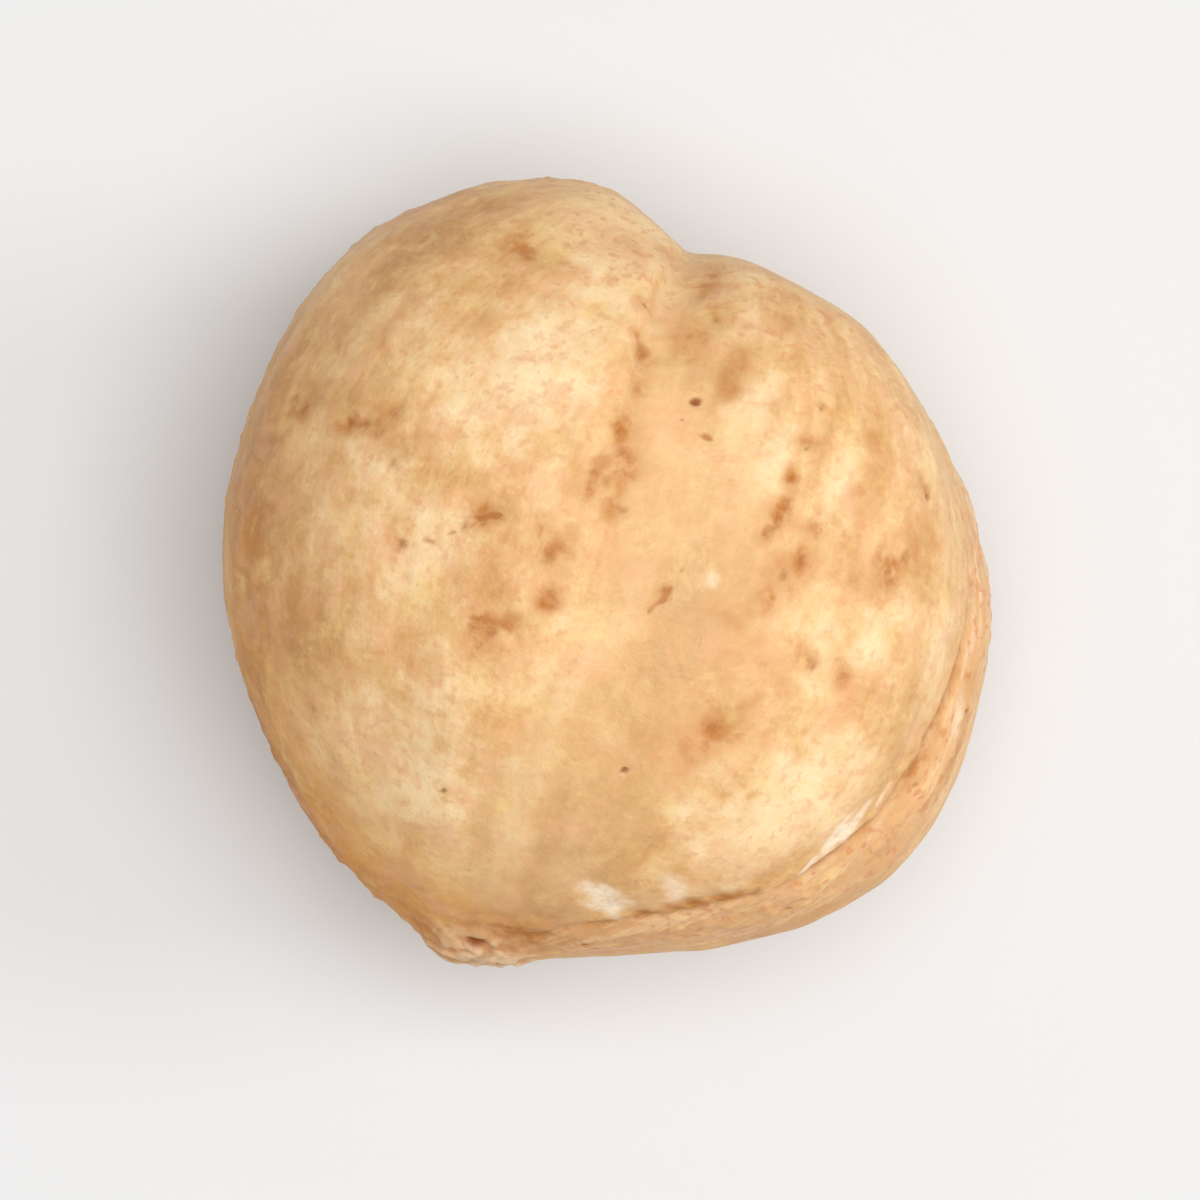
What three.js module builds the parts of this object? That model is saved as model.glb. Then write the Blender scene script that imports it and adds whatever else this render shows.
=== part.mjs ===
// A blanched hazelnut kernel: one solid, lying on its side on the small flat under its lower cheek.
//
// Millimetres, +Z up. The kernel's long axis runs along Y: its pointed root tip is towards -Y and its
// round crown towards +Y. The origin is under the middle of the kernel, on the surface it rests on.
//
// The surface is a full, slightly flattened round. Swellings and hollows are laid on it as a carver
// would: two unequal cheeks, a drawn-out tip, a shallow trough that splits the crown into two lobes,
// the seam where the two seed leaves meet, and the low ribs that run from crown to tip.

import * as THREE from "three";
import { mergeVertices } from "three/addons/utils/BufferGeometryUtils.js";

// Driving dimensions: the finished kernel's box.
const WIDTH = 15.3; // across the two cheeks, along X
const LENGTH = 15.1; // tip to crown, along Y
const HEIGHT = 13.3; // resting flat to the top of the upper cheek, along Z

// Mesh: meridians run from tip to crown, so the ribs and the seam follow its edges. The rings stand
// closer together at both ends, where the tip and the crown's notch need them.
const MERIDIANS = 80;
const RINGS = 52;
const CROWDING = 0.22; // 0 spaces the rings evenly, 0.5 brings them together at the ends

// The plain round under everything, as half-sizes and how full its shoulders are (2 is an ellipsoid).
const ROUND = { x: 7.3, y: 7.0, z: 6.95, fullness: 2.15 };

// Swellings (height above 0) and hollows (below 0). Each is centred on a direction, given as degrees
// from the tip and degrees round the long axis from the top, and fades out over its spread in degrees.
const SWELLINGS = [
  { name: "left cheek", fromTip: 128, around: -88, height: 0.42, spread: 32 },
  { name: "right cheek", fromTip: 62, around: 92, height: 0.84, spread: 32 },
  { name: "right crown hollow", fromTip: 166, around: 84, height: -0.82, spread: 20 },
  { name: "right shoulder hollow", fromTip: 130, around: 88, height: -0.5, spread: 18 },
  { name: "left flank hollow", fromTip: 62, around: -90, height: -0.08, spread: 16 },
  { name: "left of the tip", fromTip: 20, around: -90, height: 0.2, spread: 13 },
  { name: "upper cheek", fromTip: 104, around: -28, height: 0.22, spread: 30 },
  { name: "lower cheek", fromTip: 84, around: -166, height: 0.22, spread: 34 },
];

// The tip is drawn out into a blunt point that stands on a wide cone.
const TIP = {
  fromTip: 1,
  around: -90,
  height: 0.74,
  spread: 9,
  sharpness: 1.4, // 1 is a spike, 2 a dome
  coneHeight: 0.56,
  coneSpread: 29,
};

// The trough on the upper side. It bows to +X, and widens and deepens from the tip to the crown,
// where it shows as a notch in the outline. The lower side has a fainter one.
const TROUGH = {
  bow: 1.15,
  crownShift: -0.72,
  tipDepth: 0.06,
  middleDepth: 0.34,
  crownDepth: 0.68,
  middleHalfWidth: 1.9,
  endHalfWidth: 0.8,
};
const LOWER_TROUGH = { shift: -3.1, depth: 0.26, halfWidth: 1.5 };

// The seam between the two seed leaves. On the right it leaves the tip over the top and swings down
// to its own line above the widest one, within so many degrees of the tip. On the left it is level.
const SEAM = { right: 77, swing: 37, left: -108, depth: 0.16, halfWidth: 0.5 };

// Low ribs along the kernel: how many go round, how high they stand and where the first one is.
const RIBS = [
  { count: 7, height: 0.05, phase: 0.6 },
  { count: 12, height: 0.045, phase: 2.1 },
];

// The resting flat: how much of the round it takes off, and over what depth it blends into the side.
const REST = { cut: 0.62, blend: 0.34 };

const radians = THREE.MathUtils.degToRad;
const bell = (distance, halfWidth) => Math.exp(-((distance / halfWidth) ** 2));
const rise = (value, low, high) => THREE.MathUtils.smoothstep(value, low, high);

// The direction that is so many degrees from the tip and round the long axis from the top.
function towards({ fromTip, around }) {
  const t = radians(fromTip);
  const a = radians(around);
  return new THREE.Vector3(Math.sin(t) * Math.sin(a), -Math.cos(t), Math.sin(t) * Math.cos(a));
}

function roundRadius(d) {
  const n = ROUND.fullness;
  const sum =
    (Math.abs(d.x) / ROUND.x) ** n + (Math.abs(d.y) / ROUND.y) ** n + (Math.abs(d.z) / ROUND.z) ** n;
  return sum ** (-1 / n);
}

function swellings(d) {
  return SWELLINGS.reduce(
    (sum, s) => sum + s.height * bell(d.angleTo(towards(s)), radians(s.spread)),
    0,
  );
}

function tip(d) {
  const angle = d.angleTo(towards(TIP));
  const point = TIP.height * Math.exp(-((angle / radians(TIP.spread)) ** TIP.sharpness));
  const cone = TIP.coneHeight * bell(angle, radians(TIP.coneSpread));
  return point + cone;
}

// How deep the two troughs are at a direction, for a surface about this far from the middle.
function troughs(d, radius) {
  const middle = 1 - d.y ** 2;
  const towardsCrown = rise(d.y, -0.2, 1);
  const centre = TROUGH.bow * middle + TROUGH.crownShift * towardsCrown;
  const halfWidth = THREE.MathUtils.lerp(TROUGH.endHalfWidth, TROUGH.middleHalfWidth, middle);
  const depth =
    THREE.MathUtils.lerp(TROUGH.tipDepth, TROUGH.middleDepth, rise(d.y, -1, -0.3)) +
    (TROUGH.crownDepth - TROUGH.middleDepth) * rise(d.y, 0.35, 0.98);
  const upper = depth * bell(d.x * radius - centre, halfWidth) * rise(d.z, -0.75, -0.1);
  const across = d.x * radius - LOWER_TROUGH.shift;
  const lower = LOWER_TROUGH.depth * bell(across, LOWER_TROUGH.halfWidth) * middle * rise(-d.z, 0, 0.5);
  return upper + lower;
}

// How deep the seam is at a direction. It fades out at the tip and at the crown.
function seam(fromTip, around, radius) {
  const girth = Math.sin(fromTip);
  const right = radians(SEAM.right) * (1 - Math.exp(-fromTip / radians(SEAM.swing)));
  const place = around > 0 ? right : radians(SEAM.left);
  return SEAM.depth * bell((around - place) * girth * radius, SEAM.halfWidth) * rise(girth, 0.1, 0.6);
}

function ribs(fromTip, around) {
  const girth = Math.sin(fromTip);
  return RIBS.reduce((sum, r) => sum + r.height * Math.cos(r.count * around + r.phase), 0) * girth ** 2;
}

// The finished distance from the kernel's middle to its skin in one direction.
function skinRadius(d) {
  const fromTip = Math.acos(THREE.MathUtils.clamp(-d.y, -1, 1));
  const around = Math.atan2(d.x, d.z);
  const full = roundRadius(d) + swellings(d) + tip(d);
  return full - troughs(d, full) - seam(fromTip, around, full) + ribs(fromTip, around);
}

// Lifts what lies under the resting plane up to it. The edge of the flat blends into the side.
function settle(z, plane) {
  const closeness = Math.max(REST.blend - Math.abs(z - plane), 0) / REST.blend;
  return Math.max(z, plane) + (closeness ** 2 * REST.blend) / 4;
}

// A closed round mesh with one vertex at each pole, and its poles at the tip and the crown.
function roundMesh() {
  const sphere = new THREE.SphereGeometry(1, MERIDIANS, RINGS);
  sphere.deleteAttribute("normal");
  sphere.deleteAttribute("uv");
  return mergeVertices(sphere, 1e-5);
}

// Turns a direction towards the nearer end of the long axis, so the rings crowd together there.
function crowd(direction) {
  const fromTip = Math.acos(THREE.MathUtils.clamp(-direction.y, -1, 1));
  const crowded = fromTip - CROWDING * Math.sin(2 * fromTip);
  const girth = Math.hypot(direction.x, direction.z) || 1;
  const spread = Math.sin(crowded) / girth;
  return direction.set(direction.x * spread, -Math.cos(crowded), direction.z * spread);
}

function kernelGeometry() {
  const geometry = roundMesh();
  const position = geometry.getAttribute("position");
  const direction = new THREE.Vector3();
  const point = new THREE.Vector3();
  let lowest = Infinity;
  for (let i = 0; i < position.count; i++) {
    crowd(direction.fromBufferAttribute(position, i).normalize());
    point.copy(direction).multiplyScalar(skinRadius(direction));
    position.setXYZ(i, point.x, point.y, point.z);
    lowest = Math.min(lowest, point.z);
  }
  for (let i = 0; i < position.count; i++) {
    position.setZ(i, settle(position.getZ(i), lowest + REST.cut));
  }
  return geometry;
}

// Brings the kernel to its exact box, with the origin under its middle at the level of the flat.
function placeOnSurface(geometry) {
  geometry.computeBoundingBox();
  const size = geometry.boundingBox.getSize(new THREE.Vector3());
  geometry.scale(WIDTH / size.x, LENGTH / size.y, HEIGHT / size.z);
  geometry.computeBoundingBox();
  const { min, max } = geometry.boundingBox;
  geometry.translate(-(min.x + max.x) / 2, -(min.y + max.y) / 2, -min.z);
  geometry.computeVertexNormals();
  return geometry;
}

const blanchedSkin = new THREE.MeshStandardMaterial({
  color: 0xe2b987,
  roughness: 0.5,
  metalness: 0,
});

const kernel = new THREE.Mesh(placeOnSurface(kernelGeometry()), blanchedSkin);
kernel.name = "kernel";

const hazelnut = new THREE.Group();
hazelnut.add(kernel);

export default hazelnut;
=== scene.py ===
"""The looks of one blanched hazelnut kernel, lying on its side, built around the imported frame.

The kernel's skin is laid over the frame's own kernel and then carved, as a model maker would: ribs
and fibres from tip to crown, the seam of the two seed leaves, the trough, the crumbling root tip,
and the flecks, pits, cracks and scrapes of a nut that was rubbed out of its brown skin. Each mark
that is carved is also noted on the mesh, so that the flesh is coloured where it is marked.
"""

import math
import random
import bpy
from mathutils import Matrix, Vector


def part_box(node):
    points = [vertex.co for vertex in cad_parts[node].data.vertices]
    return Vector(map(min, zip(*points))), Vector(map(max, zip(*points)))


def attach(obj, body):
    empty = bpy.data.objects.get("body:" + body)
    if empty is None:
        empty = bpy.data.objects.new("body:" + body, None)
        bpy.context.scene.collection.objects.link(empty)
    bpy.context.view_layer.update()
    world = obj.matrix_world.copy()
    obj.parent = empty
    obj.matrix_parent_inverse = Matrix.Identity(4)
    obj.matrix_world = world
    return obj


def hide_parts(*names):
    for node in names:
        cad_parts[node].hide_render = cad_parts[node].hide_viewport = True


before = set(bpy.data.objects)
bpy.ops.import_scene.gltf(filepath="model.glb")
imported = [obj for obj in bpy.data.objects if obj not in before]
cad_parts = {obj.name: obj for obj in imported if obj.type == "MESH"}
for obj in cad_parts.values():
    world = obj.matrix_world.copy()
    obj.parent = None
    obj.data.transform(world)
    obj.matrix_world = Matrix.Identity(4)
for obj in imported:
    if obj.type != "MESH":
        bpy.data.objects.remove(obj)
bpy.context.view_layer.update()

from types import SimpleNamespace

import bmesh
import bpy
import numpy as np
from mathutils import Vector, noise
from mathutils.bvhtree import BVHTree

MM = 0.001

# The kernel's box, from the frame. Its long axis runs along Y, with the tip towards -Y.
LOW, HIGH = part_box("kernel")
HEART = (LOW + HIGH) / 2
RADIUS = sum(HIGH - LOW) / 6 / MM  # the mean one, in mm

# Mesh: faces along each edge of the block that is blown up to a round, and how often they are halved.
BLOCK_FACES = 32
HALVINGS = 2

# Places on the skin are given in degrees from the tip (90 is the widest girth, 180 the crown) and in
# degrees round the long axis, from the top towards +X. Sizes of marks are in mm.

# The seam leaves the tip over the top and swings down the right side. On the left it is level.
SEAM_RIGHT = 77
SEAM_SWING = 37
SEAM_LEFT = -108
RIM_MIDDLE = 0.9  # how far beyond the seam the middle of its flaky rim is, in mm

# The trough's two edges on the upper side: degrees from the tip, and mm from the heart towards +X.
TROUGH_LEFT = (
    (15, -0.4),
    (43, -0.9),
    (60, -0.75),
    (76, -0.25),
    (90, 0),
    (104, -0.35),
    (119, -0.65),
    (135, -0.8),
    (180, -0.75),
)
TROUGH_RIGHT = (
    (15, 0.4),
    (28, 1.1),
    (49, 2.1),
    (72, 3.0),
    (86, 3.3),
    (103, 3.0),
    (117, 2.2),
    (140, 0.8),
    (180, -0.2),
)

# A low fold that runs up the trough's floor from the tip, in the same way.
TROUGH_FOLD = ((15, 0.35), (27, 0.42), (44, 0.3), (56, 0.25), (71, 0.45), (84, 0.95), (98, 1.3))

# Rusty flecks: from the tip, round, length, width, turn from the long axis, and how strong.
FLECKS = (
    # down the left edge of the trough
    (139, -11, 1.0, 0.6, 0, 0.5),
    (130, -8, 1.2, 0.6, -8, 0.95),
    (125, -6, 0.9, 0.5, 0, 0.7),
    (116, -6, 1.1, 0.6, 6, 1.0),
    (112, -3, 0.9, 0.6, 0, 0.8),
    (110, -7, 0.9, 0.6, 20, 0.9),
    (107, -3, 1.7, 0.6, -8, 0.9),
    (106, -7, 0.8, 0.5, 0, 0.8),
    (109, -10, 1.2, 0.5, 20, 0.5),
    (113, -15, 1.2, 0.6, 20, 0.4),
    (99, -8, 1.0, 0.5, -20, 0.4),
    (94, -10, 0.9, 0.7, 25, 1.0),
    (96, -14, 1.2, 0.8, 40, 0.75),
    (87, -8, 0.7, 0.6, 0, 1.0),
    (81, -13, 0.8, 0.8, 0, 1.0),
    (79, -16, 1.6, 1.1, -50, 0.9),
    (84, -22, 1.5, 0.8, -50, 0.45),
    (70, -3, 1.8, 0.5, 10, 0.3),
    # on the left lobe
    (102.5, -46, 1.3, 0.45, 75, 1.0),
    (101, -51, 0.9, 0.4, 80, 0.8),
    (105, -42, 0.8, 0.4, 80, 0.8),
    (104, -56, 1.4, 0.7, 80, 0.6),
    (101, -61, 1.1, 0.7, 80, 0.7),
    (102, -38, 0.9, 0.5, 70, 0.5),
    (137, -41, 1.0, 0.6, 80, 1.0),
    (139, -45, 0.7, 0.5, 60, 0.6),
    (138, -33, 0.9, 0.4, 80, 0.5),
    (141, -60, 0.9, 0.5, 60, 0.6),
    (123, -37, 1.3, 0.6, 70, 0.5),
    (97, -22, 0.9, 0.7, 60, 1.0),
    (88, -34, 0.5, 0.4, 60, 0.6),
    (83, -64, 1.5, 1.0, 0, 0.6),
    (71, -53, 1.8, 1.2, 20, 0.45),
    (58, -49, 0.6, 0.5, 0, 0.6),
    (62, -66, 1.4, 0.8, 0, 0.4),
    # rows of dashes on the right lobe
    (130, 29, 1.0, 0.4, 14, 0.65),
    (128, 20, 0.9, 0.4, 10, 0.45),
    (124, 26, 0.5, 0.4, 0, 0.9),
    (118, 25, 0.6, 0.5, 0, 1.0),
    (112, 24, 0.8, 0.5, 20, 1.0),
    (109, 23, 0.7, 0.4, 20, 0.8),
    (111, 32, 1.1, 0.9, 30, 0.8),
    (106, 30, 1.4, 0.9, 35, 1.0),
    (100, 27, 1.6, 0.6, 35, 0.75),
    (119, 40, 2.2, 0.7, 20, 0.5),
    (113, 38, 1.6, 0.6, 20, 0.6),
    (113, 52, 1.8, 0.9, 25, 0.6),
    (108, 46, 1.2, 0.8, 25, 1.0),
    (110, 51, 1.6, 0.9, 60, 0.6),
    (127, 41, 1.6, 0.7, 20, 0.55),
    (143, 22, 1.4, 0.5, 20, 0.5),
    (152, 25, 1.0, 0.6, 30, 0.5),
    (147, 52, 1.6, 0.6, 0, 0.5),
    (122, 53, 0.6, 0.5, 0, 0.6),
    (93, 24, 1.4, 0.5, -72, 0.45),
    (91, 37, 0.9, 0.6, -60, 0.85),
    (92, 42, 0.9, 0.6, -50, 0.9),
    (88, 33, 1.1, 0.5, -60, 0.5),
    (86, 24, 0.8, 0.6, 0, 0.35),
    (76, 27, 1.5, 0.9, 35, 1.0),
    (71, 23, 1.5, 1.0, 25, 0.5),
    # at the crown's notch, by the tip and on the seam
    (138, 1, 1.3, 0.8, 0, 0.75),
    (144, 4, 1.0, 0.6, 0, 0.7),
    (95, 10, 0.5, 0.25, 20, 0.4),
    (152, -8, 0.8, 0.4, 20, 0.6),
    (149, -14, 0.7, 0.5, 0, 0.5),
    (156, -18, 0.8, 0.5, 20, 0.5),
    (151, -3, 0.5, 0.4, 0, 0.6),
    (133, 11, 1.6, 0.6, 10, 0.75),
    (154, 0, 1.8, 0.7, 0, 0.8),
    (148, -24, 1.4, 1.0, 30, 0.5),
    (14, 23, 1.9, 1.4, 70, 1.0),
    (12, 12, 1.0, 0.7, 80, 0.9),
    (17, 32, 1.2, 0.6, 70, 0.9),
    (68, 75, 1.0, 0.4, 0, 0.6),
    (72, 67, 1.0, 0.3, 0, 0.7),
    (80, 69.5, 1.2, 0.3, 0, 0.9),
    (88, 71.5, 1.2, 0.3, 0, 0.9),
    (97, 72.5, 1.0, 0.3, 0, 0.7),
    (84, 78, 1.4, 0.4, 0, 0.7),
    (96, 77, 1.2, 0.4, 0, 0.5),
    (16, 11, 1.0, 0.9, 80, 0.7),
    (22, 34, 1.6, 0.7, 75, 0.5),
    (10, -66, 1.3, 0.9, 0, 0.9),
    (32, 42, 0.7, 0.5, 50, 0.6),
    (36, 44, 1.2, 0.5, 60, 1.0),
    (41, 47.5, 0.7, 0.4, 55, 1.0),
    (44, 50, 0.9, 0.5, 50, 1.0),
    (48, 53, 1.0, 0.5, 50, 1.0),
    (51, 55, 0.6, 0.4, 45, 0.9),
    (85, 80, 1.2, 0.6, 0, 0.6),
)

# Patches of paler, creamier flesh, and of duller tan flesh, in the same way. Some pale ones are partly
# painted light and some tan ones painted shade, as noted where they stand.
PALE_AND_PAINTED_LIGHT = (
    # on the left lobe
    (120, -24, 4.6, 3.4, 10, 1.0),
    (106, -15, 1.6, 1.0, 20, 0.5),
    (88, -30, 3.2, 2.2, 40, 0.7),
    (95, -40, 2.6, 1.6, -40, 0.5),
    (56, -32, 3.6, 2.4, 20, 0.6),
    (41, -37, 1.6, 0.5, 20, 0.8),
    (35, -36, 1.6, 0.5, 20, 0.8),
    (146, -22, 4.0, 3.0, 40, 0.6),
    (158, -40, 4.0, 3.0, 40, 0.5),
    # these four, low on the left lobe, are paler flesh and partly painted light that lifts the lobe's
    # shading
    (52, -44, 3.6, 2.6, 20, 0.6),
    (47, -24, 4.0, 2.6, 10, 0.9),
    (40, -42, 3.0, 2.2, 0, 0.6),
    (34, -20, 2.8, 2.0, 0, 0.6),
    (138, -14, 3.2, 2.0, 0, 0.6),
    (64, -22, 3.0, 2.4, 10, 0.5),
    # in the trough and on its edges
    (126, 16, 3.0, 0.9, 8, 0.9),
    (120, 21, 2.8, 0.7, 12, 0.8),
    (126, 11, 0.5, 0.5, 0, 1.0),
    (155, 5, 2.6, 2.0, 0, 0.4),
    (141, 10, 2.0, 0.9, 20, 0.7),
    (30, -8, 2.6, 1.6, 0, 0.5),
    # on the right lobe
    # (69, 45) and (60, 43) are paler flesh and also a painted broad highlight where the key light falls
    (69, 45, 4.2, 3.2, 50, 1.0),
    (60, 43, 3.4, 2.2, 40, 0.8),
    (77, 51, 2.8, 2.0, 30, 0.6),
    (60, 28, 0.8, 0.7, 0, 1.0),
    (104, 48, 2.4, 2.0, 0, 0.8),
    (96, 46, 2.2, 1.6, 60, 0.7),
    (118, 34, 2.6, 0.7, 18, 0.6),
    (45, 47, 3.0, 1.4, 40, 0.6),
    (97, 62, 3.4, 1.4, 0, 0.6),
    (124, 54, 3.4, 2.2, 0, 0.5),
    (112, 35, 3.8, 2.6, 20, 0.5),
    (92, 36, 3.6, 2.6, 0, 0.5),
)
TAN_AND_PAINTED_SHADE = (
    # on the left lobe; the two long ones down its edge, at -68 and -88 round, are painted warm shade
    (84, -68, 8.0, 3.0, 0, 0.9),
    (132, -35, 3.0, 2.2, 0, 0.35),
    (48, -88, 7.0, 3.0, 0, 0.9),
    (70, -53, 3.4, 2.4, 0, 0.5),
    (130, -58, 4.6, 2.6, 0, 0.6),
    # in the trough and on its edges
    (54, 18, 2.6, 1.9, 30, 0.7),
    (46, 22, 2.2, 1.6, 30, 0.6),
    (144, 3, 2.4, 1.4, 0, 0.3),
    (97, 17, 4.0, 3.0, 10, 0.8),
    (130, 10, 2.2, 0.6, 8, 0.7),
    (82, 15, 4.4, 2.6, 10, 0.7),
    (14, 21, 3.0, 2.2, 60, 1.0),
    # on the right lobe
    (53, 27, 1.9, 1.4, 40, 0.6),
    (106, 31, 2.8, 1.4, 25, 0.45),
    (115, 39, 3.6, 0.9, 20, 0.5),
    (111, 51, 3.0, 1.4, 20, 0.35),
    (86, 60, 3.2, 2.0, 0, 0.4),
    (121, 29, 3.4, 0.5, 12, 0.7),
    (87, 30, 2.6, 1.2, -70, 0.5),
    (30, 50, 3.4, 1.2, 60, 0.4),
)

# Dark dots in the flecks and on their own: from the tip, round, and how wide they are.
DOTS = (
    # along the seam by the tip
    (33, 42, 0.24),
    (36, 44.5, 0.38),
    (38, 46, 0.34),
    (41, 48, 0.38),
    (44, 50, 0.46),
    (46, 52, 0.38),
    (48, 53, 0.46),
    (49.5, 54, 0.36),
    (52, 56, 0.28),
    # on the left lobe
    (102, -48, 0.26),
    (103, -45, 0.24),
    (102, -42, 0.20),
    (102, -59, 0.24),
    (103, -63, 0.18),
    (99, -38, 0.18),
    (137, -41, 0.28),
    (139, -44, 0.20),
    (96, -22, 0.33),
    (97, -20, 0.22),
    (94, -24, 0.20),
    (88, -33, 0.20),
    (58, -49, 0.17),
    # in the trough and down its left edge
    (95, 10, 0.16),
    (94, -10, 0.30),
    (88, -8, 0.26),
    (80, -15, 0.28),
    (79, -18, 0.22),
    (113, -5, 0.25),
    (108, -5, 0.21),
    (105, -1, 0.25),
    (116, -6, 0.20),
    (131, -8, 0.26),
    (124, -6, 0.18),
    (143, 5, 0.16),
    # on the right lobe, most of them in its rows of dashes
    (122, 55, 0.24),
    (76, 26, 0.28),
    (111, 24, 0.25),
    (109, 23, 0.21),
    (114, 25, 0.18),
    (118, 25, 0.21),
    (124, 27, 0.17),
    (130, 29, 0.18),
    (106, 30, 0.26),
    (103, 28, 0.21),
    (111, 49, 0.24),
    (108, 46, 0.24),
    (91, 37, 0.20),
    (93, 41, 0.18),
    (86, 78, 0.20),
    (92, 79, 0.17),
)

# Pinprick pits, in the same way.
PITS = (
    # on the upper side
    (126, 5, 0.30),
    (49, -19, 0.20),
    (63, 15, 0.22),
    (121, 55, 0.20),
    (123, 27, 0.16),
    (8, -7, 0.50),
    (138, -12, 0.16),
    (20, 54, 0.20),
    # on the seam and the rim
    (92, 79, 0.20),
    (86, 81, 0.18),
    (79, 72, 0.18),
    (52, 70, 0.18),
)

# Hairline cracks, each a path of places.
CRACKS = (
    ((97, -19), (95, -24), (92, -27), (90, -30), (88, -33)),
    ((99, 12), (95, 10), (91, 8.5)),
    ((122, 4), (120, 6), (121, 9)),
    ((70, 148), (82, 151), (95, 147), (108, 150)),
    ((60, -132), (74, -136), (88, -133)),
    ((100, 112), (113, 116), (126, 113)),
)

# Bare, paler scrapes: from the tip, round, length, width, turn, and how strong. The pale streak on the
# seam's lip, about 60 round, is partly a painted highlight.
SCRAPES_AND_HIGHLIGHTS = (
    (35, 31, 0.9, 1.4, 15, 1.0),
    (33, 36, 0.6, 1.2, 15, 0.6),
    (45, 40, 0.7, 1.3, 30, 0.45),
    # these five, a streak on the seam's lip, are bare flesh and also a painted highlight
    (66.5, 60, 1.4, 0.46, -8, 1.0),
    (70, 61.5, 1.2, 0.34, -4, 1.0),
    (69, 58.5, 0.8, 0.18, -6, 0.8),
    (61, 60, 0.9, 0.22, -6, 0.9),
    (75, 64, 0.9, 0.22, 0, 0.6),
    (99, 17, 0.4, 0.4, 0, 0.5),
    (91, 76, 1.2, 0.4, 0, 0.35),
    (95, 150, 1.2, 0.6, 20, 0.5),
    (66, -140, 1.6, 0.5, -20, 0.5),
)

# Marks strewn at random over the sides and the underside: how many, and the longest of them.
STREWN_SEED = 5
STREWN_FLECKS = 80
STREWN_PITS = 20
STREWN_PATCHES = 30
LONGEST_FLECK = 1.8
LONGEST_PATCH = 4.5
MARKED_SIDE = 0.25  # the upper side, with its own marks, starts this far up (1 is the top)

# How deep the marks are sunk.
FLECK_DEPTH = 0.03
SCRAPE_DEPTH = 0.03
PIT_DEPTH = 0.07
DOT_DEPTH = 0.02
CRACK_DEPTH = 0.04

FULL_PIT = 0.24  # pits this wide or wider are dark to the bottom
CRACK_REACH = 0.5  # how far from a crack it is still noted
GRAIN_STRETCH = 5.0  # how much longer than wide the flesh's fibres are


# ---------------------------------------------------------------- laying the skin


def frame_surface(node):
    """The frame's own surface, as a tree that rays can be cast on."""
    bm = bmesh.new()
    bm.from_mesh(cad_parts[node].data)
    bmesh.ops.remove_doubles(bm, verts=bm.verts, dist=0.001 * MM)
    tree = BVHTree.FromBMesh(bm)
    bm.free()
    return tree


def blown_up_block():
    """A round of even square faces: a block, cut up and blown up."""
    bm = bmesh.new()
    bmesh.ops.create_cube(bm, size=2)
    bmesh.ops.subdivide_edges(bm, edges=bm.edges, cuts=BLOCK_FACES - 1, use_grid_fill=True)
    for vert in bm.verts:
        even = Vector(math.tan(c * math.pi / 4) for c in vert.co)
        vert.co = even.normalized()
    return bm


def laid_skin(node):
    """The round, pulled in onto the frame's surface and made smooth and fine."""
    surface = frame_surface(node)
    bm = blown_up_block()
    for vert in bm.verts:
        vert.co = surface.ray_cast(HEART, vert.co)[0]
    bmesh.ops.smooth_vert(bm, verts=bm.verts, factor=0.5, use_axis_x=True, use_axis_y=True, use_axis_z=True)
    bmesh.ops.recalc_face_normals(bm, faces=bm.faces)
    mesh = bpy.data.meshes.new("hazelnut_kernel")
    bm.to_mesh(mesh)
    bm.free()
    piece = bpy.data.objects.new("hazelnut_kernel", mesh)
    bpy.context.collection.objects.link(piece)
    finer = piece.modifiers.new("finer", "SUBSURF")
    finer.levels = finer.render_levels = HALVINGS
    bpy.context.view_layer.objects.active = piece
    bpy.ops.object.modifier_apply(modifier=finer.name)
    piece.data.polygons.foreach_set("use_smooth", [True] * len(piece.data.polygons))
    return piece


# ---------------------------------------------------------------- finding the way on the skin


def smooth(low, high, value):
    """0 below low, 1 above high, with a soft step between them."""
    t = np.clip((value - low) / (high - low), 0, 1)
    return t * t * (3 - 2 * t)


def bell(value, half_width):
    return np.exp(-((value / half_width) ** 2))


def lopsided(value, before, after, middle=0.0):
    """A bell about the middle, so wide where value is below 0 and so wide where it is above."""
    return bell(value - middle, np.where(value > 0, after, before))


def direction(from_tip, around):
    t, a = math.radians(from_tip), math.radians(around)
    return np.array([math.sin(t) * math.sin(a), -math.cos(t), math.sin(t) * math.cos(a)])


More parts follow.
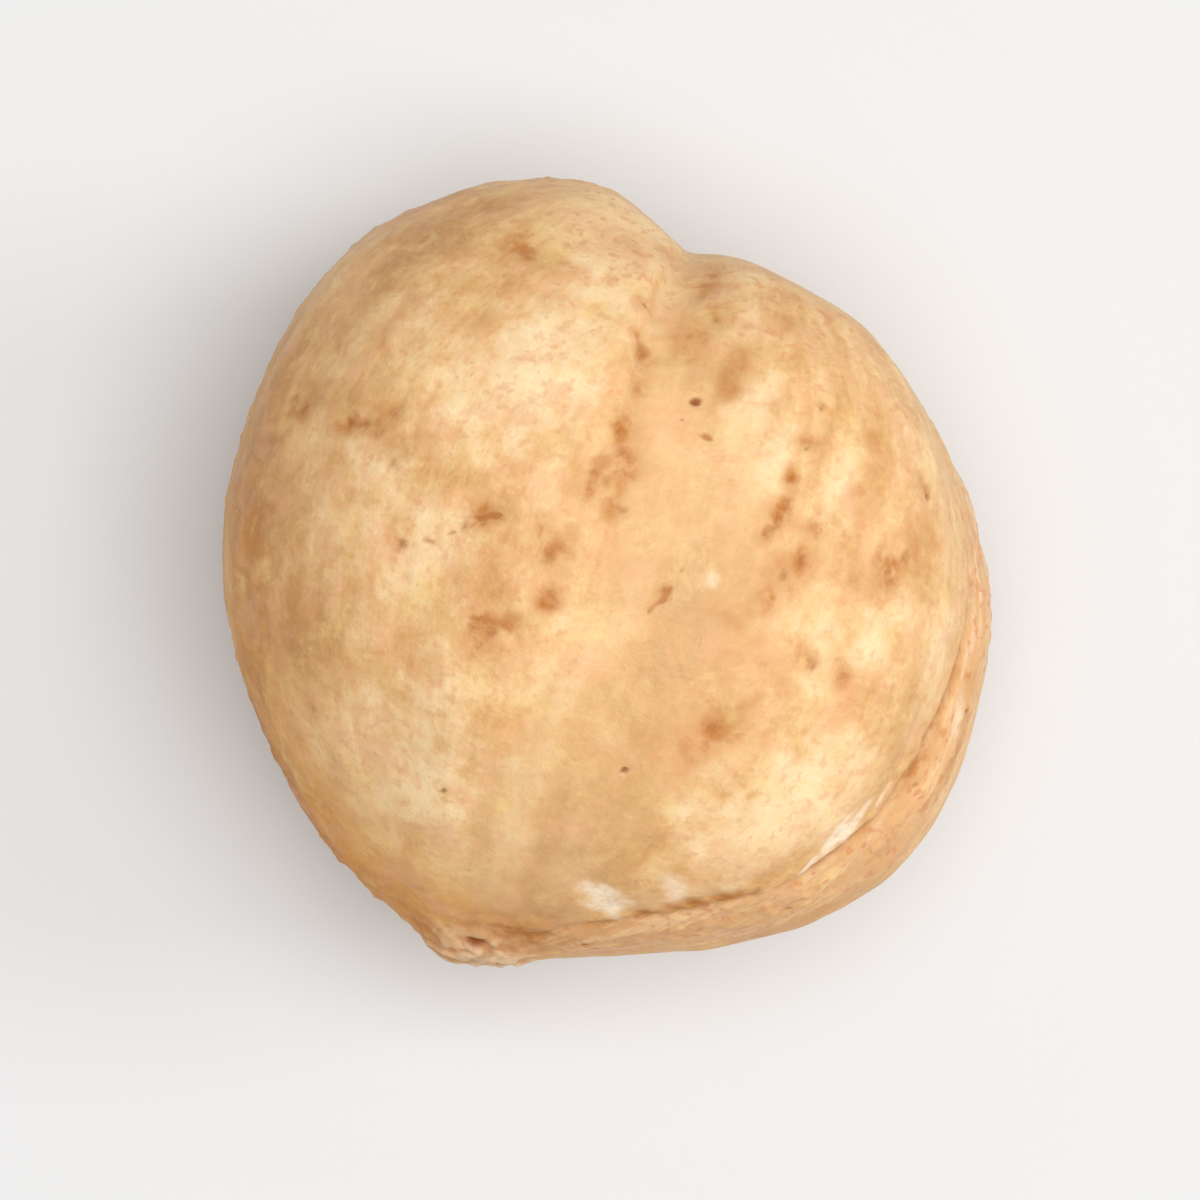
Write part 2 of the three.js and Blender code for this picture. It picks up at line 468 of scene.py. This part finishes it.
class Skin:
    """The points of the skin in mm from the heart, and where each lies on the kernel."""

    def __init__(self, mesh):
        self.mesh = mesh
        flat = np.empty(len(mesh.vertices) * 3)
        mesh.vertices.foreach_get("co", flat)
        self.points = (flat.reshape(-1, 3) - np.array(HEART)) / MM
        self.out = self.points / np.linalg.norm(self.points, axis=1)[:, None]
        x, y, z = self.out.T
        self.from_tip = np.degrees(np.arccos(np.clip(-y, -1, 1)))
        self.around = np.degrees(np.arctan2(x, z))
        self.girth = np.hypot(x, z)
        self.height = np.zeros(len(x))
        self.notes = {}

    def noise(self, size, octaves=1, shift=0.0, stretch=None):
        """Rough values about 0, with lumps of that size in mm, drawn out along the length by stretch.

        A shift of its own keeps one kind of roughness from following another.
        """
        at = self.points if stretch is None else self.meridian(stretch)
        offset = Vector((shift, shift * 0.7, -shift))
        return np.array([noise.fractal(Vector(p) / size + offset, 1.0, 2.0, octaves) for p in at])

    def meridian(self, stretch):
        """Places whose noise runs in lines from tip to crown."""
        a = np.radians(self.around)
        along = np.radians(self.from_tip) / stretch
        return np.stack([np.sin(a), along, np.cos(a)], axis=1) * RADIUS

    def patch(self, from_tip, around, length, width, turn=0.0):
        """How far each point is from a mark's middle: 0 there, and 1 on the mark's edge."""
        middle = direction(from_tip, around)
        along = direction(from_tip + 90, around)
        across = np.cross(along, middle)
        w = math.radians(turn)
        u = self.out @ across * RADIUS
        v = self.out @ along * RADIUS
        far = self.out @ middle < 0
        down = v * math.cos(w) + u * math.sin(w)
        side = u * math.cos(w) - v * math.sin(w)
        return np.hypot(down / (length / 2), side / (width / 2)) + far * 1e3

    def path_distance(self, path, wander):
        """How far each point is from a path of places that wanders by so much, in mm."""
        places = [direction(*place) * RADIUS for place in path]
        strayed = self.out * RADIUS + wander
        nearest = np.full(len(self.out), np.inf)
        for start, end in zip(places, places[1:]):
            run = end - start
            share = np.clip((strayed - start) @ run / (run @ run), 0, 1)
            gap = strayed - start - share[:, None] * run
            nearest = np.minimum(nearest, np.linalg.norm(gap, axis=1))
        return nearest

    def across(self, place):
        """How far each point is past a line that runs from tip to crown, in mm round the kernel."""
        return np.radians(self.around - place) * self.girth * RADIUS

    def beside(self, edge):
        """How far each point is past an edge that runs from tip to crown, in mm along X."""
        from_tip, right = zip(*edge)
        return self.points[:, 0] - np.interp(self.from_tip, from_tip, right)

    def seam(self):
        """How far each point is past the seam."""
        right = SEAM_RIGHT * (1 - np.exp(-self.from_tip / SEAM_SWING))
        return self.across(np.where(self.around > 0, right, SEAM_LEFT))

    def note(self, name, values):
        """Keeps the strongest note of that name at each point."""
        self.notes[name] = np.maximum(self.notes.get(name, 0), np.clip(values, 0, 1))

    def write(self):
        """Moves the points out by their height, but none under the resting flat, and writes the notes."""
        normals = np.empty(len(self.points) * 3)
        self.mesh.vertex_normals.foreach_get("vector", normals)
        carved = self.points + normals.reshape(-1, 3) * self.height[:, None]
        carved = carved * MM + np.array(HEART)
        carved[:, 2] = np.maximum(carved[:, 2], LOW.z)
        self.mesh.vertices.foreach_set("co", carved.ravel())
        for name, values in self.notes.items():
            self.mesh.attributes.new(name, "FLOAT", "POINT").data.foreach_set("value", values)
        grain = self.mesh.attributes.new("grain", "FLOAT_VECTOR", "POINT")
        grain.data.foreach_set("vector", self.meridian(GRAIN_STRETCH).ravel())
        self.mesh.update()


# ---------------------------------------------------------------- carving


def carve_lie_of_the_flesh(skin):
    """Broad dents and swellings, then low ribs and fibres from tip to crown. Both ends are left plain."""
    ends = smooth(0.1, 0.5, skin.girth)
    skin.height += 0.09 * skin.noise(3.2, shift=3.0) * ends
    skin.height += 0.04 * skin.noise(1.3, octaves=2, shift=8.0) * ends
    skin.height += 0.025 * skin.noise(1.0, shift=5.0, stretch=3.0) * ends
    skin.height += 0.012 * skin.noise(0.32, octaves=2, shift=9.0, stretch=4.0) * ends


def note_painted_side_shade(skin):
    """Painted warm shade: the sides are darker and warmer than the top, most of all by the tip and on the
    left, and less underneath.
    """
    x, _, z = skin.out.T
    by_tip = 0.15 + 0.85 * smooth(135, 40, skin.from_tip)
    left = 0.45 + 0.55 * smooth(0.3, -0.3, x)
    not_below = 0.6 + 0.4 * smooth(-0.5, 0.1, z)
    # the side note is where warm shade is painted
    skin.note("side", smooth(0.8, 0.1, z) * by_tip * left * not_below)


def carve_trough(skin):
    """The trough's floor is smooth and even. Its left edge steps down by the tip and folds at the crown."""
    past_left = skin.beside(TROUGH_LEFT) + 0.08 * skin.noise(1.1, octaves=2, shift=63.0)
    past_right = skin.beside(TROUGH_RIGHT)
    upper = smooth(-0.1, 0.3, skin.out[:, 2])
    wander = 0.3 * skin.noise(0.9, octaves=2, shift=61.0)
    inside = smooth(-0.6, 0.5, past_left + wander) * smooth(-0.7, 0.6, -past_right - wander)
    skin.note("trough", inside * upper * smooth(0.12, 0.3, skin.girth))

    # by the crown the left lobe folds over the trough's edge
    over_crown = smooth(112, 138, skin.from_tip) * smooth(-0.8, -0.4, skin.out[:, 2])
    skin.height -= 0.16 * lopsided(past_left, 0.12, 0.6) * over_crown * smooth(172, 145, skin.from_tip)
    skin.height += 0.11 * lopsided(past_left, 0.5, 0.32, middle=-0.3) * over_crown

    # by the tip the left edge is a low step down
    by_tip = smooth(82, 60, skin.from_tip) * smooth(14, 26, skin.from_tip) * upper
    skin.height -= 0.06 * lopsided(past_left, 0.25, 1.1) * by_tip

    # a fold runs up the floor: its edge is carved, with tan painted shade below it and paler painted light
    # above it
    past_fold = skin.beside(TROUGH_FOLD) + 0.16 * skin.noise(0.9, octaves=3, shift=67.0)
    folded = smooth(102, 92, skin.from_tip) * smooth(14, 22, skin.from_tip) * upper
    skin.height -= 0.045 * lopsided(past_fold, 0.28, 0.8) * folded
    skin.note("tan", 0.5 * lopsided(past_fold, 0.2, 0.5) * folded)
    skin.note("pale", 0.5 * bell(past_fold + 0.6, 0.45) * folded)


def carve_seam(skin):
    """The crease where the seed leaves meet, with a raised lip. It is broken into dashes."""
    broken = smooth(-0.35, 0.25, skin.noise(0.55, octaves=2, shift=21.0))
    present = smooth(0.12, 0.35, skin.girth) * smooth(175, 150, skin.from_tip)
    from_seam = skin.seam() + 0.10 * skin.noise(1.4, shift=31.0) + 0.04 * skin.noise(0.4, shift=33.0)
    crease = bell(from_seam, 0.16) * present
    lip = lopsided(from_seam, 0.34, 0.14, middle=-0.12) * present
    crisp = 0.7 + 0.3 * smooth(75, 50, skin.from_tip)
    skin.height += 0.09 * lip * crisp - 0.16 * crease * (0.35 + 0.65 * broken) * crisp
    skin.note("seam", crease * broken * crisp)

    # on the right, the rim beyond the seam bulges at the widest girth
    right = skin.around > 0
    rim = smooth(-0.1, 0.2, from_seam) * smooth(2.8, 1.6, from_seam) * right
    skin.note("rim", rim * smooth(150, 110, skin.from_tip) * present)
    bulge = smooth(120, 108, skin.from_tip) * smooth(60, 80, skin.from_tip) * right
    skin.height += 0.10 * bell(from_seam - RIM_MIDDLE, 0.7) * bulge

    # the rim is flaky all along
    flakes = np.maximum(skin.noise(0.3, octaves=2, shift=71.0), 0)
    skin.height += 0.08 * flakes * bell(from_seam - RIM_MIDDLE, 0.9) * present


def strewn_places(luck, count):
    """Places all round the kernel, but for the upper side, which has marks of its own."""
    places = []
    while len(places) < count:
        place = Vector((luck.gauss(0, 1), luck.gauss(0, 1), luck.gauss(0, 1))).normalized()
        if place.z < MARKED_SIDE:
            places.append((math.degrees(math.acos(-place.y)), math.degrees(math.atan2(place.x, place.z))))
    return places


def strewn_marks(luck, count, longest, slimness):
    """Marks of mixed size and strength, most of them lying roughly along the kernel."""
    marks = []
    for from_tip, around in strewn_places(luck, count):
        length = longest * luck.uniform(0.35, 1)
        width = length * luck.uniform(slimness, 1)
        marks.append((from_tip, around, length, width, luck.gauss(0, 30), luck.uniform(0.2, 0.8)))
    return tuple(marks)


def carve_marks(skin, name, marks, inner, outer, depth=0.0):
    """Notes ragged marks that fade out from inner to outer, in shares of their size, and sinks them."""
    ragged = 0.5 * skin.noise(0.5, octaves=2, shift=81.0)
    for from_tip, around, length, width, turn, strength in marks:
        spread = skin.patch(from_tip, around, length, width, turn)
        skin.note(name, strength * smooth(outer, inner, spread + ragged))
    skin.height -= depth * skin.notes[name]


def carve_pits(skin, luck):
    """Pinprick pits. The narrower ones are fainter."""
    strewn = tuple((*place, luck.uniform(0.14, FULL_PIT)) for place in strewn_places(luck, STREWN_PITS))
    for from_tip, around, width in PITS + strewn:
        strength = min(1, width / FULL_PIT)
        spread = skin.patch(from_tip, around, width, width * 0.75, turn=60)
        skin.note("pit", strength * smooth(1.5, 0.2, spread))
    skin.height -= PIT_DEPTH * skin.notes["pit"]


def carve_dots(skin):
    """Dark dots with very ragged edges."""
    ragged = 0.9 * skin.noise(0.22, octaves=2, shift=87.0)
    for from_tip, around, width in DOTS:
        spread = skin.patch(from_tip, around, width, width * 0.8, turn=20)
        skin.note("dot", smooth(1.8, 0.0, spread + ragged))
    skin.height -= DOT_DEPTH * skin.notes["dot"]


def carve_cracks(skin):
    """Hairline cracks, noted as how near they are."""
    wander = 0.2 * np.stack([skin.noise(0.6, octaves=3, shift=shift) for shift in (41, 43, 47)], axis=1)
    for path in CRACKS:
        distance = skin.path_distance(path, wander)
        skin.note("crack", 1 - distance / CRACK_REACH)
        skin.height -= CRACK_DEPTH * bell(distance, 0.09)


def carve_tip(skin):
    """The root tip stands out, with a crumbling end that has a dent in its middle."""
    near = smooth(20, 5, skin.from_tip)
    crumbs = skin.noise(0.26, octaves=2, shift=51.0)
    skin.height += near * 0.08 * crumbs + 0.10 * smooth(12, 5, skin.from_tip)
    skin.height -= 0.12 * smooth(4, 0, skin.from_tip)
    skin.note("tip", smooth(16, 5, skin.from_tip))
    skin.note("crumbs", 0.5 + crumbs)


def note_crown(skin):
    """The middle of the crown, and the whole end of the kernel round it."""
    skin.note("crown", smooth(160, 172, skin.from_tip))
    skin.note("crown_end", smooth(125, 155, skin.from_tip))


def carve_kernel(piece):
    skin = Skin(piece.data)
    luck = random.Random(STREWN_SEED)
    carve_lie_of_the_flesh(skin)
    note_painted_side_shade(skin)
    carve_trough(skin)
    carve_seam(skin)
    more_flecks = strewn_marks(luck, STREWN_FLECKS, LONGEST_FLECK, slimness=0.4)
    carve_marks(skin, "fleck", FLECKS + more_flecks, inner=-0.1, outer=1.7, depth=FLECK_DEPTH)
    # pale and tan patches, some of them painted light and painted shade
    for name, patches in (("pale", PALE_AND_PAINTED_LIGHT), ("tan", TAN_AND_PAINTED_SHADE)):
        more_patches = strewn_marks(luck, STREWN_PATCHES, LONGEST_PATCH, slimness=0.5)
        carve_marks(skin, name, patches + more_patches, inner=0.1, outer=1.3)
    carve_marks(skin, "scrape_and_highlight", SCRAPES_AND_HIGHLIGHTS, inner=0.2, outer=1.35, depth=SCRAPE_DEPTH)
    carve_pits(skin, luck)
    carve_dots(skin)
    carve_cracks(skin)
    carve_tip(skin)
    note_crown(skin)
    skin.write()


# ---------------------------------------------------------------- finishes


def add(tree, kind, inputs=None, **settings):
    """A node of that kind, set up, with each input linked to a socket or given a value."""
    node = tree.nodes.new("ShaderNode" + kind)
    for name, value in settings.items():
        setattr(node, name, value)
    for name, value in (inputs or {}).items():
        if isinstance(value, bpy.types.NodeSocket):
            tree.links.new(value, node.inputs[name])
        else:
            node.inputs[name].default_value = value
    return node


def new_finish(name):
    """An empty material with its Principled shader, and the shader's tree."""
    material = bpy.data.materials.new(name)
    material.use_nodes = True
    tree = material.node_tree
    return material, tree, tree.nodes["Principled BSDF"]


def places_in_mm(tree):
    at = add(tree, "TexCoord").outputs["Object"]
    return add(tree, "Mapping", {"Vector": at, "Scale": (1 / MM, 1 / MM, 1 / MM)}).outputs["Vector"]


def moved(tree, at, by):
    """The same places, shifted, so that a texture differs from another of its size."""
    return add(tree, "Mapping", {"Vector": at, "Location": (by, by, by)}).outputs["Vector"]


def noted(tree, name, kind="Fac"):
    """What was noted on the mesh under that name."""
    return add(tree, "Attribute", attribute_name=name).outputs[kind]


def rough(tree, at, size, detail=3.0, roughness=0.55, distortion=0.0):
    """Noise with lumps of about that size, between 0 and 1."""
    texture = add(tree, "TexNoise", {
        "Vector": at,
        "Scale": 1 / size,
        "Detail": detail,
        "Roughness": roughness,
        "Distortion": distortion,
    })
    return texture.outputs["Fac"]


def step(tree, value, low, high, to_low=0.0, to_high=1.0):
    """A soft step from to_low to to_high, as value goes from low to high."""
    return add(tree, "MapRange", {
        "Value": value,
        "From Min": low,
        "From Max": high,
        "To Min": to_low,
        "To Max": to_high,
    }, interpolation_type="SMOOTHSTEP").outputs["Result"]


def blend(tree, amount, under, over, kind="MIX"):
    """One colour over another."""
    mix = add(tree, "Mix", data_type="RGBA", blend_type=kind)
    for socket, value in ((mix.inputs[0], amount), (mix.inputs[6], under), (mix.inputs[7], over)):
        if isinstance(value, bpy.types.NodeSocket):
            tree.links.new(value, socket)
        elif isinstance(value, tuple):
            socket.default_value = (*value, 1)
        else:
            socket.default_value = value
    return mix.outputs[2]


def calc(tree, operation, first, second):
    return add(tree, "Math", {0: first, 1: second}, operation=operation).outputs[0]


def weighed(tree, *terms):
    """The sum of several values, each times its weight."""
    total = 0.0
    for value, weight in terms:
        total = add(tree, "Math", {0: value, 1: weight, 2: total}, operation="MULTIPLY_ADD").outputs[0]
    return total


def tones(tree, value, stops):
    """A ramp of colours."""
    ramp = add(tree, "ValToRGB", {"Fac": value})
    ramp.color_ramp.interpolation = "B_SPLINE"
    elements = ramp.color_ramp.elements
    while len(elements) < len(stops):
        elements.new(0.5)
    for element, (position, colour) in zip(elements, stops):
        element.position = position
        element.color = (*colour, 1)
    return ramp.outputs["Color"]


# The flesh's colours, from its deepest tan to its palest cream, and those of its parts and marks.
FLESH_TONES = (
    (0.0, (0.50, 0.245, 0.080)),
    (0.3, (0.66, 0.365, 0.135)),
    (0.5, (0.77, 0.475, 0.212)),
    (0.7, (0.86, 0.595, 0.310)),
    (1.0, (0.94, 0.735, 0.452)),
)
TROUGH_TAN = (0.71, 0.435, 0.200)
TROUGH_CREAM = (0.79, 0.505, 0.245)
RIM_PINK = (0.76, 0.46, 0.245)
RIM_FLAKE = (0.93, 0.69, 0.44)
# painted warm shade, multiplied over the sides
PAINTED_SIDE_SHADE = (0.91, 0.64, 0.255)
BLUSH_PINK = (0.79, 0.42, 0.215)
WAX_YELLOW = (0.85, 0.60, 0.255)
TIP_BROWN = (0.60, 0.31, 0.15)
TIP_CRUMB = (0.93, 0.69, 0.47)
CROWN_BROWN = (0.60, 0.31, 0.12)
FRECKLE_RED = (0.66, 0.28, 0.12)
RUST = (0.53, 0.205, 0.045)
DARK_RUST = (0.385, 0.125, 0.025)
STRAY_RUST = (0.55, 0.235, 0.08)
SEAM_BROWN = (0.41, 0.155, 0.045)
CRACK_BROWN = (0.455, 0.165, 0.04)
PIT_BROWN = (0.28, 0.06, 0.005)
# bare cream of the scrapes, also the painted highlight on the seam's lip
BARE_CREAM_AND_HIGHLIGHT = (1.0, 0.83, 0.61)


def flesh_patterns(tree):
    """The noises that the flesh is mottled with, and what was noted on it that several marks read."""
    at = places_in_mm(tree)
    return SimpleNamespace(
        broad=rough(tree, at, 2.6, detail=5, roughness=0.6, distortion=0.6),
        small=rough(tree, at, 0.8, detail=5, roughness=0.65, distortion=0.4),
        fine=rough(tree, at, 0.16, detail=3, roughness=0.6),
        blush=rough(tree, moved(tree, at, 17), 0.9, detail=4, roughness=0.7, distortion=0.5),
        spots=rough(tree, moved(tree, at, 31), 0.52, detail=5, roughness=0.6, distortion=0.1),
        dots=rough(tree, moved(tree, at, 53), 0.24, detail=2, roughness=0.5),
        fibres=rough(tree, noted(tree, "grain", "Vector"), 0.5, detail=5, roughness=0.65),
        trough=noted(tree, "trough"),
        # the side note: where warm shade is painted, where the streaks fade and where the flesh is duller
        side=noted(tree, "side"),
        rim=noted(tree, "rim"),
        tip=noted(tree, "tip"),
        fleck=noted(tree, "fleck"),
    )


def mottled_flesh(tree, see):
    """Cream and tan, with streaks along the fibres that fade on the sides."""
    along = step(tree, see.side, 0.0, 0.8, 0.6, 0.25)
    streaks = calc(tree, "MULTIPLY", calc(tree, "SUBTRACT", see.fibres, 0.5), along)
    tone = weighed(
        tree,
        (see.broad, 0.45),
        (see.small, 0.90),
        (streaks, 1.0),
        (see.fine, 0.32),
        # the pale and tan notes are paler and tan flesh, and also painted light and painted shade
        (noted(tree, "pale"), 0.42),
        (noted(tree, "tan"), -0.38),
    )
    return tones(tree, calc(tree, "ADD", tone, -0.36), FLESH_TONES)


def even_trough(tree, see, colour):
    """The trough's floor is more even than the lobes."""
    even = blend(tree, step(tree, see.broad, 0.3, 0.7), TROUGH_TAN, TROUGH_CREAM)
    return blend(tree, calc(tree, "MULTIPLY", see.trough, 0.5), colour, even)


def pinkish_rim(tree, see, colour):
    """The rim beyond the seam is pinkish, with pale flakes along the fibres."""
    pinkish = calc(tree, "MULTIPLY", see.rim, step(tree, see.small, 0.35, 0.6, 0.65, 0.35))
    colour = blend(tree, pinkish, colour, RIM_PINK)
    flaking = calc(tree, "MULTIPLY", see.rim, step(tree, see.fibres, 0.48, 0.62, 0, 0.6))
    return blend(tree, flaking, colour, RIM_FLAKE)


def painted_side_shade_and_blush(tree, see, colour):
    """Painted warm shade on the sides, then a pink blush and yellow waxy spots all over."""
    # painted shade: the sides are multiplied by a warm tone
    colour = blend(tree, see.side, colour, PAINTED_SIDE_SHADE, "MULTIPLY")
    colour = blend(tree, step(tree, see.blush, 0.48, 0.66, 0, 0.5), colour, BLUSH_PINK)
    return blend(tree, step(tree, see.blush, 0.46, 0.30, 0, 0.5), colour, WAX_YELLOW)


def brown_ends(tree, see, colour):
    """The crumbling tip is brown between its pale crumbs, and the crown a little brown."""
    crumbs = weighed(tree, (noted(tree, "crumbs"), 0.5), (see.spots, 0.8), (see.fine, 0.5))
    crumbly = blend(tree, step(tree, crumbs, 0.68, 1.1), TIP_BROWN, TIP_CRUMB)
    colour = blend(tree, calc(tree, "MULTIPLY", see.tip, 0.65), colour, crumbly)
    return blend(tree, calc(tree, "MULTIPLY", noted(tree, "crown"), 0.2), colour, CROWN_BROWN)


def freckled(tree, see, colour):
    """Reddish freckles, most of them beyond the seam and by the crown."""
    freckly = weighed(tree, (see.rim, 0.45), (noted(tree, "crown_end"), 0.3), (see.trough, -0.15))
    freckles = calc(tree, "MULTIPLY", step(tree, see.dots, 0.55, 0.68), calc(tree, "ADD", freckly, 0.3))
    return blend(tree, freckles, colour, FRECKLE_RED)


def rust_stain(tree, see):
    """How rusty the flecks are: a soft stain with ragged spots in it, worn off in places."""
    grit = calc(tree, "MAXIMUM", step(tree, see.spots, 0.42, 0.62), step(tree, see.fleck, 0.6, 1.1))
    worn = step(tree, weighed(tree, (see.fine, 1.0), (see.small, 0.6)), 0.55, 0.95, 0.7, 1.0)
    stain = weighed(tree, (see.fleck, 0.40), (calc(tree, "MULTIPLY", see.fleck, grit), 0.75))
    return calc(tree, "MULTIPLY", stain, worn)


def rust_cores(tree, see):
    """How dark the hearts of the flecks and the dots are."""
    hearts = calc(tree, "MULTIPLY", step(tree, see.fleck, 0.5, 1.0), step(tree, see.spots, 0.48, 0.64))
    dots = calc(tree, "MULTIPLY", noted(tree, "dot"), step(tree, see.fine, 0.35, 0.6, 0.35, 0.7))
    return calc(tree, "MAXIMUM", calc(tree, "MULTIPLY", hearts, 0.5), dots)


def crack_line(tree, see):
    """The cracks' hairlines, patchy along their length."""
    patchy = step(tree, see.spots, 0.36, 0.52, 0.4, 0.75)
    return calc(tree, "MULTIPLY", step(tree, noted(tree, "crack"), 0.80, 0.94), patchy)


def seam_line(tree, see):
    """The seam's crease, patchy in the same places."""
    return calc(tree, "MULTIPLY", noted(tree, "seam"), step(tree, see.spots, 0.38, 0.54, 0.45, 0.95))


def scrapes_and_painted_highlight(tree, see):
    """The scrapes, where the flesh is bare and flaked; along the seam's lip they are also a painted
    highlight.
    """
    flakes = step(tree, weighed(tree, (see.spots, 0.6), (see.fine, 0.6)), 0.4, 0.75, 0.5, 1.0)
    return calc(tree, "MULTIPLY", step(tree, noted(tree, "scrape_and_highlight"), 0.0, 0.8, 0, 0.95), flakes)


def flesh():
    """Waxy cream flesh, mottled with tan, with rusty flecks and fine fibres."""
    material, tree, shader = new_finish("blanched_flesh")
    see = flesh_patterns(tree)
    colour = mottled_flesh(tree, see)
    for layer in (even_trough, pinkish_rim, painted_side_shade_and_blush, brown_ends, freckled):
        colour = layer(tree, see, colour)

    stain = rust_stain(tree, see)
    cores = rust_cores(tree, see)
    crack = crack_line(tree, see)
    pit = step(tree, noted(tree, "pit"), 0.1, 0.95, 0, 0.9)
    for amount, paint in (
        (stain, RUST),
        (cores, DARK_RUST),
        (step(tree, see.spots, 0.66, 0.76, 0, 0.4), STRAY_RUST),
        (seam_line(tree, see), SEAM_BROWN),
        (crack, CRACK_BROWN),
        (pit, PIT_BROWN),
        (scrapes_and_painted_highlight(tree, see), BARE_CREAM_AND_HIGHLIGHT),
    ):
        colour = blend(tree, amount, colour, paint)
    tree.links.new(colour, shader.inputs["Base Color"])

    dull = weighed(
        tree,
        (step(tree, see.small, 0.4, 0.62), 0.14),
        (see.fleck, 0.12),
        (see.trough, -0.03),
        (pit, 0.40),
        (crack, 0.40),
        (cores, 0.30),
        (see.tip, 0.15),
        (see.side, 0.15),
    )
    tree.links.new(calc(tree, "ADD", dull, 0.40), shader.inputs["Roughness"])
    shader.inputs["Specular IOR Level"].default_value = 0.26
    shader.inputs["Subsurface Weight"].default_value = 0.3
    shader.inputs["Subsurface Radius"].default_value = (1.0, 0.5, 0.25)
    shader.inputs["Subsurface Scale"].default_value = 0.8 * MM

    relief = weighed(
        tree,
        (see.fine, 0.5),
        (see.fibres, 0.5),
        (see.small, 0.8),
        (stain, -0.5),
        (see.spots, 0.2),
    )
    bump = add(tree, "Bump", {"Height": relief, "Strength": 0.8, "Distance": 0.06 * MM})
    tree.links.new(bump.outputs["Normal"], shader.inputs["Normal"])
    return material


def pale_floor():
    """A plain, matt pale grey."""
    material, _, shader = new_finish("studio_floor")
    shader.inputs["Base Color"].default_value = (0.72, 0.72, 0.72, 1)
    shader.inputs["Roughness"].default_value = 0.75
    return material


# ---------------------------------------------------------------- the studio


CAMERA_ROLL = math.radians(18.9)
SHARE_OF_VIEW = 0.66  # how much of the view's width the kernel's width takes
LENS = 200
SENSOR = 36
FLOOR_SIZE = 2
WORLD_STRENGTH = 0.42


def camera():
    """A long lens that looks straight down on the kernel."""
    data = bpy.data.cameras.new("camera")
    data.lens = LENS
    data.sensor_width = SENSOR
    data.clip_start = 1 * MM
    eye = bpy.data.objects.new("camera", data)
    width = (HIGH - LOW).x / SHARE_OF_VIEW
    eye.location = (HEART.x, HEART.y, HEART.z + width * LENS / SENSOR)
    eye.rotation_euler = (0, 0, CAMERA_ROLL)
    bpy.context.collection.objects.link(eye)
    bpy.context.scene.camera = eye


def softbox(name, right, up, above, side, power):
    """A square soft light, so many metres away by the camera's right and up, turned to the kernel."""
    data = bpy.data.lights.new(name, "AREA")
    data.size = side
    data.energy = power
    lamp = bpy.data.objects.new(name, data)
    across = Vector((math.cos(CAMERA_ROLL), math.sin(CAMERA_ROLL), 0))
    away = across * right + Vector((-across.y, across.x, 0)) * up + Vector((0, 0, above))
    lamp.location = HEART + away
    lamp.rotation_mode = "QUATERNION"
    lamp.rotation_quaternion = away.to_track_quat("Z", "Y")
    bpy.context.collection.objects.link(lamp)


def studio():
    """A pale floor, a soft light overhead, a smaller one to its right and an even white all round."""
    bpy.ops.mesh.primitive_plane_add(size=FLOOR_SIZE)
    floor = bpy.context.object
    floor.name = "studio_floor"
    floor.data.materials.append(pale_floor())
    softbox("overhead", right=0.04, up=-0.005, above=0.30, side=0.20, power=0.71)
    softbox("key", right=0.22, up=0.03, above=0.17, side=0.10, power=0.19)
    world = bpy.data.worlds.new("studio")
    world.use_nodes = True
    background = world.node_tree.nodes["Background"]
    background.inputs["Color"].default_value = (1, 1, 1, 1)
    background.inputs["Strength"].default_value = WORLD_STRENGTH
    bpy.context.scene.world = world
    bpy.context.scene.view_settings.view_transform = "Standard"


kernel = laid_skin("kernel")
carve_kernel(kernel)
kernel.data.materials.append(flesh())
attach(kernel, "root")
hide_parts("kernel")
studio()
camera()
